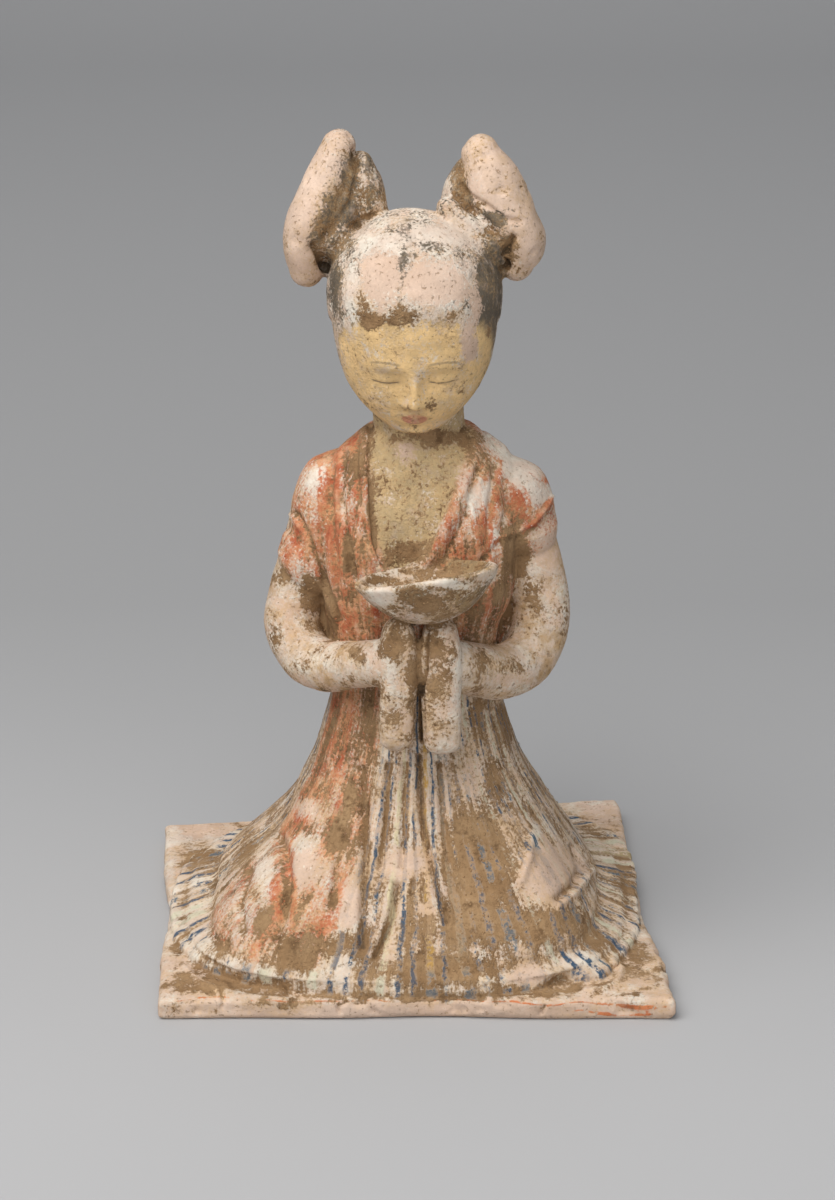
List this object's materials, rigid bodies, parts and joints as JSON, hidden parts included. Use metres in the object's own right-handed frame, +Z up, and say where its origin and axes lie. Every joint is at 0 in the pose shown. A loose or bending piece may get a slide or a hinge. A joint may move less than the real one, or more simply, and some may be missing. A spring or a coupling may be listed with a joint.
{
  "type": "female musician figure",
  "caption": "Kneeling earthenware musician with looped hair, holding a shallow cymbal, fired in one piece with its thin slab.",
  "frame": {"origin": "centre of the bounding box on the ground, at the slab's underside", "axes": "+Z up, the figure faces -Y, +X to the viewer's right"},
  "size_m": [0.1786, 0.168, 0.2799],
  "materials": {
    "painted_earthenware": "matt, low-fired clay with worn slip, pigment and soil"
  },
  "bodies": {
    "root": {"musician_figure": "painted_earthenware"}
  },
  "joints": []
}
